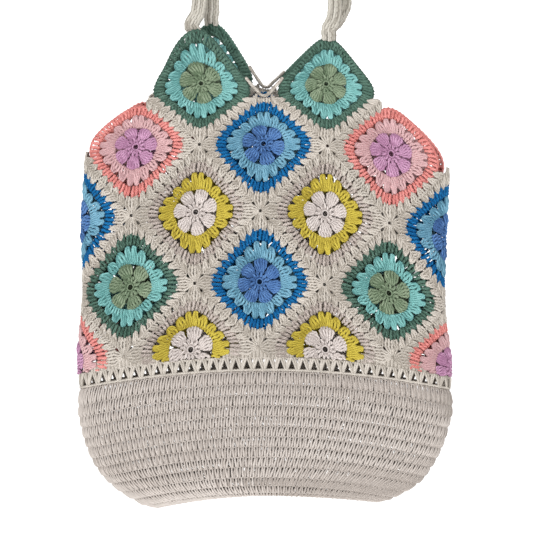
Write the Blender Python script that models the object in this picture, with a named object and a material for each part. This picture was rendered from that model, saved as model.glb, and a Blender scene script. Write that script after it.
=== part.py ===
"""A crochet tote bag that hangs by its two handles: joined squares over a solid crochet base.

Metres, +Z up, the front faces -Y. The origin is under the top of the handles, where they hang on a hook.
Each piece is drawn flat, on an unrolled map of the bag, and then wrapped onto the bag's surface.
On the map, "column" runs round the bag, one per square, from the middle of the front towards +X,
and "row" runs down it, one per half diagonal of a square. The squares stand on their corners.
"""

import math
from collections import namedtuple

import bmesh
import bpy
import numpy as np
from mathutils import Vector
from mathutils.geometry import delaunay_2d_cdt

# The bag's body
BODY_WIDTH = 0.359
BODY_DEPTH = 0.082
PATCHWORK_HEIGHT = 0.329
BASE_HEIGHT = 0.123
FOLD_ROUNDNESS = 0.5

# The crochet fabric
SQUARE_WALL = 0.003
BASE_WALL = 0.0035
FLOWER_RELIEF = 0.0014
FLOWER_DIAMETER = 0.038
FLOWER_STRETCH = 1.1
BORDER_WIDTH = 0.0062
JOIN_HOLE = 0.0066
JOIN_HOLE_PLACE = 0.16
MESH_HOLE = 0.0062
MESH_HOLES = 5
SEAM_GAP = 0.0003

# The handles
HANDLE_DROP = 0.258
HANDLE_WIDTH = 0.0125
HANDLE_THICKNESS = 0.008
HOOK_DIAMETER = 0.030
HANDLE_SPACING = 0.0155
PEAK_LAP = 0.008
PEAK_LAP_SHIFT = 0.03
PEAK_TIP_WIDTH = 0.007
FOLDED_TIP_WIDTH = 0.015

# The strands' knots above the peaks. across: distance from the middle, in half columns. rise: share of the
# way from the peaks' level to the hang point. twist: 0 the band faces front, 1 it lies flat on the hook.
Knot = namedtuple("Knot", "across rise twist")
HANDLE_ROUTES = {
    ("handle_front", "left"): (
        Knot(-1.185, -0.020, 0.0), Knot(-1.095, 0.033, 0.0), Knot(-1.065, 0.081, 0.05), Knot(-0.95, 0.24, 0.3),
        Knot(-0.74, 0.50, 0.65), Knot(-0.50, 0.75, 0.95),
    ),
    ("handle_front", "right"): (
        Knot(1.055, 0.005, 0.0), Knot(1.085, 0.050, 0.0), Knot(1.080, 0.100, 0.05), Knot(0.99, 0.24, 0.3),
        Knot(0.76, 0.50, 0.65), Knot(0.50, 0.75, 0.95),
    ),
    ("handle_back", "left"): (
        Knot(-0.870, 0.04, 0.0), Knot(-0.868, 0.081, 0.05), Knot(-0.81, 0.24, 0.3),
        Knot(-0.66, 0.50, 0.65), Knot(-0.48, 0.75, 0.95),
    ),
    ("handle_back", "right"): (
        Knot(1.12, 0.010, 0.0), Knot(1.23, 0.060, 0.05), Knot(1.24, 0.12, 0.1), Knot(1.12, 0.26, 0.3),
        Knot(0.82, 0.50, 0.65), Knot(0.52, 0.75, 0.95),
    ),
}

# The edging along the neckline
EDGING_DIAMETER = 0.0036
EDGING_REACH = 0.15

COLUMNS = 6
BASE_FACETS = 48
BAND_SIDES = 12
BAND_STEP = 0.013
MAP_COLUMNS = 720
MAP_ROWS = 300

# One line for each level of the bag. row: place on the map. fall: share of the patchwork's height, and then
# of the base's. width and depth: shares of the bag's. The others are shares of half its width: lean is the
# level's shift to the right, turn the pattern's, and left_sag and right_sag how far its folds hang down.
Level = namedtuple("Level", "row fall width depth lean turn left_sag right_sag")
PATCHWORK_LEVELS = (
    Level(0.00, 0.000, 0.990, 0.28, -0.005, 0.000, 0.000, 0.140),
    Level(1.00, 0.179, 0.950, 0.44, -0.013, 0.000, 0.000, 0.020),
    Level(2.00, 0.353, 0.965, 0.58, 0.004, -0.020, 0.032, 0.116),
    Level(3.00, 0.546, 0.966, 0.67, -0.014, -0.018, 0.048, 0.138),
    Level(4.00, 0.750, 0.961, 0.74, -0.014, -0.022, 0.054, 0.128),
    Level(5.00, 0.936, 0.990, 0.83, -0.010, -0.033, 0.094, 0.120),
    Level(5.30, 1.000, 0.987, 0.86, -0.008, -0.033, 0.100, 0.106),
)
BASE_LEVELS = (
    Level(5.54, 0.121, 0.996, 0.93, -0.006, -0.033, 0.127, 0.127),
    Level(5.85, 0.280, 0.975, 0.98, -0.009, -0.033, 0.132, 0.132),
    Level(6.16, 0.436, 0.941, 1.00, -0.011, -0.033, 0.132, 0.132),
    Level(6.47, 0.591, 0.888, 0.98, -0.013, -0.033, 0.127, 0.127),
    Level(6.77, 0.742, 0.819, 0.88, -0.012, -0.033, 0.106, 0.106),
    Level(7.09, 0.902, 0.696, 0.65, -0.016, -0.033, 0.080, 0.070),
    Level(7.27, 0.970, 0.635, 0.35, 0.000, -0.033, 0.070, 0.040),
    Level(7.40, 1.000, 0.560, 0.00, 0.005, -0.033, 0.060, 0.030),
)
EDGE_ROW = PATCHWORK_LEVELS[-1].row
BOTTOM_ROW = BASE_LEVELS[-1].row

# The slack of the top: shares of half the bag's width
NECK_SAG = 0.048
BACK_LIFT = 0.080
BACK_LIFT_COLUMN = 3.35
BACK_LEFT_SHIFT = 0.055
LEFT_SHOULDER = 0.042
LEFT_TIP_LIFT = 0.035

# The squares. half: only the upper half is there, down to the base.
Square = namedtuple("Square", "name column row colour half")
SQUARES = (
    Square("green_square_peak_front_left", -0.5, 1, "green", False),
    Square("green_square_peak_front_right", 0.5, 1, "green", False),
    Square("green_square_peak_back_right", 2.5, 1, "green", False),
    Square("green_square_peak_back_left", 3.5, 1, "green", False),
    Square("pink_square_front_left", -1.0, 2, "pink", False),
    Square("blue_square_upper_front", 0.0, 2, "blue", False),
    Square("pink_square_front_right", 1.0, 2, "pink", False),
    Square("pink_square_back_right", 2.0, 2, "pink", False),
    Square("blue_square_upper_back", 3.0, 2, "blue", False),
    Square("pink_square_back_left", 4.0, 2, "pink", False),
    Square("yellow_square_front_left", -0.5, 3, "yellow", False),
    Square("yellow_square_front_right", 0.5, 3, "yellow", False),
    Square("blue_square_side_right", 1.5, 3, "blue", False),
    Square("yellow_square_back_right", 2.5, 3, "yellow", False),
    Square("yellow_square_back_left", 3.5, 3, "yellow", False),
    Square("blue_square_side_left", 4.5, 3, "blue", False),
    Square("green_square_front_left", -1.0, 4, "green", False),
    Square("blue_square_lower_front", 0.0, 4, "blue", False),
    Square("green_square_front_right", 1.0, 4, "green", False),
    Square("green_square_back_right", 2.0, 4, "green", False),
    Square("blue_square_lower_back", 3.0, 4, "blue", False),
    Square("green_square_back_left", 4.0, 4, "green", False),
    Square("yellow_half_front_left", -0.5, 5, "yellow", True),
    Square("yellow_half_front_right", 0.5, 5, "yellow", True),
    Square("pink_half_side_right", 1.5, 5, "pink", True),
    Square("yellow_half_back_right", 2.5, 5, "yellow", True),
    Square("yellow_half_back_left", 3.5, 5, "yellow", True),
    Square("pink_half_side_left", 4.5, 5, "pink", True),
)
COLOURS = {
    "green": (0.107, 0.196, 0.144),
    "blue": (0.010, 0.165, 0.430),
    "pink": (0.800, 0.305, 0.265),
    "yellow": (0.571, 0.457, 0.114),
    "ecru": (0.610, 0.552, 0.487),
}

HALF_WIDTH = BODY_WIDTH / 2
HALF_DEPTH = BODY_DEPTH / 2
# A square's side, and the distance between its two sides, on the fabric
HALF_COLUMN = BODY_WIDTH / COLUMNS
ROW_HEIGHT = PATCHWORK_HEIGHT / EDGE_ROW
SQUARE_SIDE = math.hypot(HALF_COLUMN, ROW_HEIGHT)
SQUARE_ACROSS = 2 * HALF_COLUMN * ROW_HEIGHT / SQUARE_SIDE


def smooth_step(low, high, value):
    """0 up to low, 1 from high on, and a smooth rise between."""
    share = np.clip((value - low) / (high - low), 0.0, 1.0)
    return share * share * (3.0 - 2.0 * share)


def smooth_column(rows, values, at):
    """A smooth curve through one column of the levels' table, read at the rows in at."""
    slopes = np.gradient(values, rows)
    index = np.clip(np.searchsorted(rows, at, side="right") - 1, 0, len(rows) - 2)
    span = rows[index + 1] - rows[index]
    t = (at - rows[index]) / span
    start = (1 + 2 * t) * (1 - t) ** 2 * values[index] + t * (1 - t) ** 2 * span * slopes[index]
    end = t * t * (3 - 2 * t) * values[index + 1] + t * t * (t - 1) * span * slopes[index + 1]
    return start + end


def section(half_width, half_depth, shares):
    """A level's outline, read at shares of its length from the middle of the front: a flat ellipse,
    grown outwards so that its two folds are round."""
    rounding = FOLD_ROUNDNESS * half_depth
    angle = np.linspace(0.0, 2 * math.pi, 1441)
    inner_width = half_width - rounding
    inner_depth = half_depth - rounding
    normal = np.stack([inner_depth * np.sin(angle), -inner_width * np.cos(angle)], axis=1)
    normal /= np.linalg.norm(normal, axis=1)[:, None]
    outline = np.stack([inner_width * np.sin(angle), -inner_depth * np.cos(angle)], axis=1)
    outline = outline + rounding * normal
    lengths = np.concatenate([[0.0], np.cumsum(np.linalg.norm(np.diff(outline, axis=0), axis=1))])
    wanted = (shares % 1.0) * lengths[-1]
    return np.interp(wanted, lengths, outline[:, 0]), np.interp(wanted, lengths, outline[:, 1])


class BagSurface:
    """The outside of the bag's wall, as a fine net of points and outward normals over the map."""

    def __init__(self):
        levels = PATCHWORK_LEVELS + BASE_LEVELS
        table = {name: np.array([getattr(level, name) for level in levels]) for name in Level._fields}
        height = table["fall"] * PATCHWORK_HEIGHT
        height[len(PATCHWORK_LEVELS):] = PATCHWORK_HEIGHT + table["fall"][len(PATCHWORK_LEVELS):] * BASE_HEIGHT
        self.rows = np.linspace(0.0, BOTTOM_ROW, MAP_ROWS + 1)
        columns = np.arange(MAP_COLUMNS) * COLUMNS / MAP_COLUMNS
        read = {name: smooth_column(table["row"], table[name], self.rows) for name in Level._fields}
        drop = HANDLE_DROP + smooth_column(table["row"], height, self.rows)
        self.points = np.zeros((MAP_ROWS + 1, MAP_COLUMNS, 3))
        for i, row in enumerate(self.rows):
            half_width = read["width"][i] * HALF_WIDTH
            half_depth = max(read["depth"][i], 0.0) * HALF_DEPTH
            x, y = section(half_width, half_depth, columns / COLUMNS + read["turn"][i] / 4)
            side = np.where(x < 0, read["left_sag"][i], read["right_sag"][i])
            sag = side * HALF_WIDTH * (x / half_width) ** 2
            moved = self.slack(columns, row)
            self.points[i, :, 0] = x + read["lean"][i] * HALF_WIDTH + moved[0]
            self.points[i, :, 1] = y
            self.points[i, :, 2] = moved[1] - drop[i] - sag
        down = np.gradient(self.points, axis=0)
        wrapped = np.concatenate([self.points[:, -1:], self.points, self.points[:, :1]], axis=1)
        along = (wrapped[:, 2:] - wrapped[:, :-2]) / 2
        normals = np.cross(down, along)
        normals[-1] = (0.0, 0.0, -1.0)
        lengths = np.linalg.norm(normals, axis=2)[..., None]
        self.normals = normals / np.maximum(lengths, 1e-12)

    def slack(self, columns, row):
        """How far the hanging top moves the fabric sideways and up: the neckline sags, the back hangs
        higher at its left, and the front's left peak, folded over its handle, has a round shoulder."""
        high = 1.0 - smooth_step(1.0, 2.0, row)
        neck = -NECK_SAG * high * np.cos(math.pi * columns) ** 2
        near = np.clip(1.0 - np.abs(columns - BACK_LIFT_COLUMN) / 1.1, 0.0, 1.0)
        back = smooth_step(0.0, 1.0, near) * (1.0 - smooth_step(0.8, 3.0, row))
        tip = back * (1.0 - smooth_step(0.0, 1.4, row))
        shoulder = np.exp(-(((columns - COLUMNS + 0.64) / 0.20) ** 2 + ((row - 0.4) / 0.45) ** 2))
        folded = np.exp(-(((columns - COLUMNS + 0.52) / 0.20) ** 2 + ((row - 0.25) / 0.30) ** 2))
        sideways = BACK_LEFT_SHIFT * tip - LEFT_SHOULDER * shoulder
        upwards = neck + BACK_LIFT * back + LEFT_TIP_LIFT * folded
        return sideways * HALF_WIDTH, upwards * HALF_WIDTH

    def at(self, column, row, height):
        """The point at that place on the map, height above the wall's outside."""
        i = min(max(row / BOTTOM_ROW, 0.0), 1.0) * MAP_ROWS
        j = (column / COLUMNS) % 1.0 * MAP_COLUMNS
        i0 = min(int(i), MAP_ROWS - 1)
        j0 = int(j) % MAP_COLUMNS
        j1 = (j0 + 1) % MAP_COLUMNS
        s = i - i0
        t = j - int(j)

        def mix(net):
            upper = net[i0, j0] * (1 - t) + net[i0, j1] * t
            lower = net[i0 + 1, j0] * (1 - t) + net[i0 + 1, j1] * t
            return upper * (1 - s) + lower * s

        normal = mix(self.normals)
        normal = normal / max(np.linalg.norm(normal), 1e-12)
        return Vector(mix(self.points) + normal * height)

    def wrap(self, bm):
        """Moves a flat mesh, whose vertices are (column, row, height), onto the bag."""
        for vertex in bm.verts:
            vertex.co = self.at(*vertex.co)


def clear_scene():
    for obj in list(bpy.data.objects):
        bpy.data.objects.remove(obj)


def material(name):
    made = bpy.data.materials.get(name)
    if made:
        return made
    made = bpy.data.materials.new(name)
    made.use_nodes = True
    shader = made.node_tree.nodes["Principled BSDF"]
    shader.inputs["Base Color"].default_value = (*COLOURS[name], 1.0)
    shader.inputs["Roughness"].default_value = 0.92
    shader.inputs["Metallic"].default_value = 0.0
    return made


def finish_mesh(bm, name, colour, collection):
    """Makes the bmesh an object of its own in the collection."""
    bmesh.ops.recalc_face_normals(bm, faces=bm.faces)
    mesh = bpy.data.meshes.new(name)
    bm.to_mesh(mesh)
    bm.free()
    mesh.materials.append(material(colour))
    obj = bpy.data.objects.new(name, mesh)
    collection.objects.link(obj)
    return obj


def fill_outline(outline, inside):
    """A flat bmesh that fills the outline on the map, with a vertex at each (column, row, height) in inside."""
    places = [(column, row, 0.0) for column, row in outline] + list(inside)
    flat = [Vector((column * 2 * HALF_COLUMN, row * ROW_HEIGHT)) for column, row, _ in places]
    edges = [(i, (i + 1) % len(outline)) for i in range(len(outline))]
    points, _, faces, sources, _, _ = delaunay_2d_cdt(flat, edges, [], 1, 1e-7)
    mesh = bpy.data.meshes.new("flat")
    corners = [places[sources[i][0]] for i in range(len(points))]
    mesh.from_pydata(corners, [], faces)
    bm = bmesh.new()
    bm.from_mesh(mesh)
    bpy.data.meshes.remove(mesh)
    return bm


def thicken(bm, wall):
    """Gives a flat sheet its back face, a wall's thickness below the outside. The sides' four-cornered
    faces are split the same way on both sides of a join, so that they still match where the bag folds."""
    made = bmesh.ops.extrude_face_region(bm, geom=bm.faces[:])
    inner = {item for item in made["geom"] if isinstance(item, bmesh.types.BMVert)}
    for vertex in inner:
        vertex.co.z = -wall
    for face in [face for face in bm.faces if len(face.verts) == 4]:
        ordered = sorted(face.verts, key=lambda vertex: (vertex.co.y, vertex.co.x))
        low = [vertex for vertex in ordered if vertex in inner][0]
        high = [vertex for vertex in ordered if vertex not in inner][-1]
        bmesh.utils.face_split(face, low, high)


def flower(square):
    """The raised round flower in a square's middle: rings of (column, row, height) with six petals."""
    lowest = (EDGE_ROW - square.row) * ROW_HEIGHT - 2 * MESH_HOLE
    rings = ((0.45, 6, 0.0, 1.0), (0.92, 12, 0.07, 1.0), (1.12, 12, 0.0, 0.0))
    places = [(square.column, float(square.row), FLOWER_RELIEF * 0.6)]
    for size, count, lobe, relief in rings:
        for step in range(count):
            angle = 2 * math.pi * (step + 0.5) / count
            reach = FLOWER_DIAMETER / 2 * size * (1 + lobe * (-1) ** step)
            down = reach * math.cos(angle) * FLOWER_STRETCH
            if square.half and down > lowest:
                continue
            column = square.column + reach * math.sin(angle) / (2 * HALF_COLUMN)
            places.append((column, square.row + down / ROW_HEIGHT, FLOWER_RELIEF * relief))
    shoulders = ((0.0, -0.66), (0.31, -0.16), (0.31, 0.16), (-0.31, -0.16), (-0.31, 0.16), (0.0, 0.66))
    for across, down in shoulders:
        if not square.half or down < 0:
            places.append((square.column + across, square.row + down, 0.0))
    return places


def joined_side(start, end):
    """(share of the side, notch) along a side that meets its neighbour. With the neighbour's,
    each notch makes an open hole in the join, near a corner."""
    half = JOIN_HOLE / 2 / SQUARE_SIDE
    depth = JOIN_HOLE / 2 / SQUARE_ACROSS
    stops = []
    for hole in (JOIN_HOLE_PLACE, 1 - JOIN_HOLE_PLACE):
        stops += [(hole - half, 0.0), (hole, depth), (hole + half, 0.0)]
    stops.insert(3, (0.5, 0.0))
    return [(start, 0.0)] + stops + [(end, 0.0)]


def free_side(start, end):
    """The same for a side on the bag's opening, which is plain."""
    return [(start + (end - start) * share, 0.0) for share in (0.0, 0.33, 0.67, 1.0)]


def square_outline(square, taken):
    """The outline of a square, or of a half square, as (column, row). In the square's own coordinates
    p and q are 0 to 1 from its upper corner to its right one and to its left one."""
    seam = SEAM_GAP / 2 / SQUARE_ACROSS
    border = BORDER_WIDTH / SQUARE_ACROSS

    def inset(across, down):
        joined = ((square.column + across) % COLUMNS, square.row + down) in taken
        return (seam, joined_side) if joined else (border, free_side)

    low_q, upper_right = inset(0.5, -1)
    low_p, upper_left = inset(-0.5, -1)
    high_p, high_q = 1 - seam, 1 - seam
    tip = tip_cut(square)
    places = [(share, low_q + notch) for share, notch in upper_right(low_p + tip, high_p)]
    if square.half:
        foot = half_square_foot(square)
        places = places[:-1]
    else:
        foot = []
        places += [(high_p - notch, share) for share, notch in joined_side(low_q, high_q)[1:]]
        places += [(share, high_q - notch) for share, notch in joined_side(low_p, high_p)[-2::-1]]
    rising = upper_left(low_q + tip, high_q)[-2::-1]
    if not tip:
        rising = rising[:-1]
    side = [(low_p + notch, share) for share, notch in rising]
    outline = [(square.column + (p - q) / 2, square.row - 1 + p + q) for p, q in places]
    outline += foot
    outline += [(square.column + (p - q) / 2, square.row - 1 + p + q) for p, q in side]
    return outline


def tip_cut(square):
    """How far a square's upper corner is cut back, in its own coordinates."""
    if square.row == 1:
        return (FOLDED_TIP_WIDTH if square.column == -0.5 else PEAK_TIP_WIDTH) / (2 * HALF_COLUMN)
    if (square.column, square.row) in ((0.0, 2), (3.0, 2), (1.5, 3), (4.5, 3)):
        under = (EDGING_DIAMETER / 2 + 2 * SEAM_GAP) / ROW_HEIGHT
        return (BORDER_WIDTH - EDGING_DIAMETER / 2) / SQUARE_ACROSS + under
    return 0.0


def half_square_foot(square):
    """The lower edge of a half square: down one end, along the base with a row of open holes, and up the other."""
    half = 0.5 - SEAM_GAP / 2 / (2 * HALF_COLUMN)
    row = EDGE_ROW - SEAM_GAP / 2 / ROW_HEIGHT
    points = [(square.column + half, float(square.row))]
    for step in range(2 * MESH_HOLES + 2):
        share = 1 - 2 * step / (2 * MESH_HOLES + 1)
        points.append((square.column + half * share, row))
        if step % 2 and step < 2 * MESH_HOLES:
            middle = share - 1 / (2 * MESH_HOLES + 1)
            points.append((square.column + half * middle, row - MESH_HOLE / ROW_HEIGHT))
    points.append((square.column - half, float(square.row)))
    return points


def make_squares(surface, collection):
    taken = {(square.column % COLUMNS, square.row) for square in SQUARES}
    for square in SQUARES:
        bm = fill_outline(square_outline(square, taken), flower(square))
        thicken(bm, SQUARE_WALL)
        surface.wrap(bm)
        finish_mesh(bm, square.name, square.colour, collection)


def make_base(surface, collection):
    """The deep bowl of solid crochet: an outer and an inner sheet, closed along the bottom line
    and bridged along the upper edge."""
    top = EDGE_ROW + SEAM_GAP / 2 / ROW_HEIGHT
    rows = [top] + [level.row for level in BASE_LEVELS]
    steps = len(rows) - 1
    bm = bmesh.new()
    rims = []
    for height in (0.0, -BASE_WALL):
        made = bmesh.ops.create_grid(bm, x_segments=BASE_FACETS, y_segments=steps, size=0.5)
        for vertex in made["verts"]:
            column = (vertex.co.x + 0.5) * COLUMNS - BASE_LEVELS[0].turn * COLUMNS / 4
            level = round((0.5 - vertex.co.y) * steps)
            vertex.co = surface.at(column, rows[level], height)
        bmesh.ops.remove_doubles(bm, verts=made["verts"], dist=1e-5)
        rims += [edge for edge in bm.edges if edge.is_boundary and edge not in rims]
    bmesh.ops.bridge_loops(bm, edges=rims)
    finish_mesh(bm, "base", "ecru", collection)


def make_band(name, knots, width, thickness, collection):
    """A soft band with round edges along the knots, which are (x, y, z, twist). With no twist it faces front."""
    knots = np.array([tuple(knot) for knot in knots])
    steps = np.linalg.norm(np.diff(knots[:, :3], axis=0), axis=1)
    lengths = np.concatenate([[0.0], np.cumsum(steps)])
    count = max(2, round(lengths[-1] / BAND_STEP))
    stations = np.linspace(0.0, lengths[-1], count + 1)
    path = np.stack([smooth_column(lengths, column, stations) for column in knots.T], axis=1)
    ahead = np.stack([smooth_column(lengths, column, stations + BAND_STEP / 100) for column in knots.T], axis=1)
    along = (ahead - path)[:, :3]
    bm = bmesh.new()
    made = bmesh.ops.create_grid(bm, x_segments=BAND_SIDES, y_segments=count, size=0.5)
    for vertex in made["verts"]:
        station = round((vertex.co.y + 0.5) * count)
        angle = 2 * math.pi * (vertex.co.x + 0.5) + math.pi / BAND_SIDES
        tangent = Vector(along[station]).normalized()
        sideways = Vector((0.0, 1.0, 0.0)).cross(tangent).normalized()
        facing = tangent.cross(sideways)
        twist = path[station, 3]
        wide = sideways * math.cos(twist) + facing * math.sin(twist)
        thick = tangent.cross(wide)
        reach = math.copysign((width - thickness) / 2, math.cos(angle))
        offset = wide * (reach + thickness / 2 * math.cos(angle)) + thick * (thickness / 2 * math.sin(angle))
        vertex.co = Vector(path[station, :3]) + offset
    bmesh.ops.remove_doubles(bm, verts=bm.verts, dist=1e-6)
    bmesh.ops.holes_fill(bm, edges=[edge for edge in bm.edges if edge.is_boundary], sides=0)
    finish_mesh(bm, name, "ecru", collection)


def make_edging(surface, name, middle, collection):
    """The round cord that lies in the low point of the neckline, over the squares' edges."""
    lift = (BORDER_WIDTH - EDGING_DIAMETER / 2 - 2 * SEAM_GAP) / SQUARE_ACROSS
    low = 1 + (BORDER_WIDTH - EDGING_DIAMETER / 2) / SQUARE_ACROSS
    knots = []
    for share in (-1.0, -0.7, -0.4, -0.1, 0.1, 0.4, 0.7, 1.0):
        reach = share * EDGING_REACH
        row = min(1 - 2 * abs(reach) + 2 * lift, low)
        knots.append((*surface.at(middle + reach, row, -SQUARE_WALL / 2), 0.0))
    make_band(name, knots, EDGING_DIAMETER, EDGING_DIAMETER, collection)


def hook_knots(depth):
    """The route's knots over the hook, from left to right."""
    radius = (HOOK_DIAMETER + HANDLE_THICKNESS) / 2
    knots = []
    for degrees in (-80, -50, -25, 0, 25, 50, 80):
        angle = math.radians(degrees)
        z = radius * math.cos(angle) - HOOK_DIAMETER / 2
        knots.append((radius * math.sin(angle), depth, z, math.pi / 2))
    return knots


def strand_knots(roots, route, depth):
    """The knots of one strand of a handle, from its roots at a peak up to the hook."""
    knots = [(*root, 0.0) for root in roots]
    for knot in route:
        z = (knot.rise - 1) * HANDLE_DROP
        y = roots[-1].y + (depth - roots[-1].y) * smooth_step(0.0, 0.3, knot.rise)
        knots.append((knot.across * HALF_COLUMN, y, z, knot.twist * math.pi / 2))
    return knots


def make_handle(name, side, left, right, collection):
    """One handle: up from its left peak, over the hook and down to its right peak."""
    depth = side * HANDLE_SPACING / 2
    rising = strand_knots(left, HANDLE_ROUTES[name, "left"], depth)
    falling = strand_knots(right, HANDLE_ROUTES[name, "right"], depth)[::-1]
    make_band(name, rising + hook_knots(depth) + falling, HANDLE_WIDTH, HANDLE_THICKNESS, collection)


def butted_roots(surface, column, tip_row):
    """The two lowest knots of a strand that stands on its peak's tip."""
    reach = PEAK_TIP_WIDTH / 2 / (2 * HALF_COLUMN)
    tips = [surface.at(column + across, tip_row, -SQUARE_WALL / 2) for across in (-reach, 0.0, reach)]
    root = Vector((tips[1].x, tips[1].y, max(tip.z for tip in tips) + 2 * SEAM_GAP))
    return [root, root + Vector((0.0, 0.0, HANDLE_WIDTH / 2))]


def lapped_roots(surface, column, tip_row):
    """The two lowest knots of a strand that is sewn behind its peak."""
    behind = -(SQUARE_WALL + 2 * SEAM_GAP + HANDLE_THICKNESS / 2)
    rows = (tip_row + PEAK_LAP / ROW_HEIGHT, tip_row)
    return [surface.at(column, row, behind) for row in rows]


def make_handles(surface, collection):
    tip_row = 2 * BORDER_WIDTH / SQUARE_ACROSS + PEAK_TIP_WIDTH / (2 * HALF_COLUMN)
    left = lapped_roots(surface, -0.5 - PEAK_LAP_SHIFT, tip_row)
    right = butted_roots(surface, 0.5, tip_row)
    make_handle("handle_front", -1, left, right, collection)
    left = butted_roots(surface, 3.5, tip_row)
    right = butted_roots(surface, 2.5, tip_row)
    make_handle("handle_back", 1, left, right, collection)


def main():
    clear_scene()
    collection = bpy.data.collections.new("crochet_tote_bag")
    bpy.context.scene.collection.children.link(collection)
    surface = BagSurface()
    make_squares(surface, collection)
    make_base(surface, collection)
    make_edging(surface, "neck_edging_front", 0.0, collection)
    make_edging(surface, "neck_edging_back", 3.0, collection)
    make_handles(surface, collection)


main()
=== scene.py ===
"""Dresses the crochet tote bag in real stitches: every round of its squares, the joins between them, the
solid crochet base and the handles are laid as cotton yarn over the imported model.

Metres, +Z up, the front faces -Y. The origin is under the top of the handles, where they hang on a hook.
Each piece is worked flat on the unrolled map of the bag and then laid on the bag's surface. On the map,
"column" runs round the bag, one per square, and "row" runs down it, one per half diagonal of a square.
"""

import logging
import math
from dataclasses import dataclass, field
from enum import Enum
from typing import Callable, Iterator, NamedTuple

import bmesh
import bpy
import numpy as np
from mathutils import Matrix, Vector


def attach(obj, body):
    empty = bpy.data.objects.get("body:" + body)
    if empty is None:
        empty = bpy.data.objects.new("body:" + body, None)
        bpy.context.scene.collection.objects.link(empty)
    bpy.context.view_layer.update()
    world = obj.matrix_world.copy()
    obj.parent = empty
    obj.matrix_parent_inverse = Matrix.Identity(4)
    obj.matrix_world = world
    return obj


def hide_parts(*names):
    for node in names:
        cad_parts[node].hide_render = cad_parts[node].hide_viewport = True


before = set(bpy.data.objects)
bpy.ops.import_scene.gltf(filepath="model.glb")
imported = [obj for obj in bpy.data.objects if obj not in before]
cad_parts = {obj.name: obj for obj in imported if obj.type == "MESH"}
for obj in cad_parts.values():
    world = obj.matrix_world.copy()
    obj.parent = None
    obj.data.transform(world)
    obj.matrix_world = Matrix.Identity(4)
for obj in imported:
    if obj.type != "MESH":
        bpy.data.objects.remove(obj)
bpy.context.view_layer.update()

LOG = logging.getLogger("tote")
MM = 0.001
Array = np.ndarray


# ------------------------------------------------------------ yarn and finishes


def linear(colour: str) -> tuple[float, float, float, float]:
    """Turns an sRGB hex colour into the linear colour that a shader takes.

    Args:
        colour: six hex digits after a "#".

    Returns:
        Red, green, blue and alpha, linear.
    """
    shares = [int(colour[i : i + 2], 16) / 255 for i in (1, 3, 5)]
    parts = [c / 12.92 if c <= 0.04045 else ((c + 0.055) / 1.055) ** 2.4 for c in shares]
    return (*parts, 1.0)


def add_node(
    tree: bpy.types.NodeTree,
    kind: str,
    links: dict | None = None,
    values: dict | None = None,
    **settings: object,
) -> bpy.types.Node:
    """Adds one shader node with its settings, values and links.

    Args:
        tree: the material's node tree.
        kind: the node's type name, after its "ShaderNode".
        links: input name or place to the output socket that feeds it.
        values: input name or place to its constant value.
        settings: properties of the node itself.

    Returns:
        The new node.
    """
    node = tree.nodes.new("ShaderNode" + kind)
    for name, value in settings.items():
        setattr(node, name, value)
    for key, value in (values or {}).items():
        node.inputs[key].default_value = value
    for key, socket in (links or {}).items():
        tree.links.new(socket, node.inputs[key])
    return node


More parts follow.
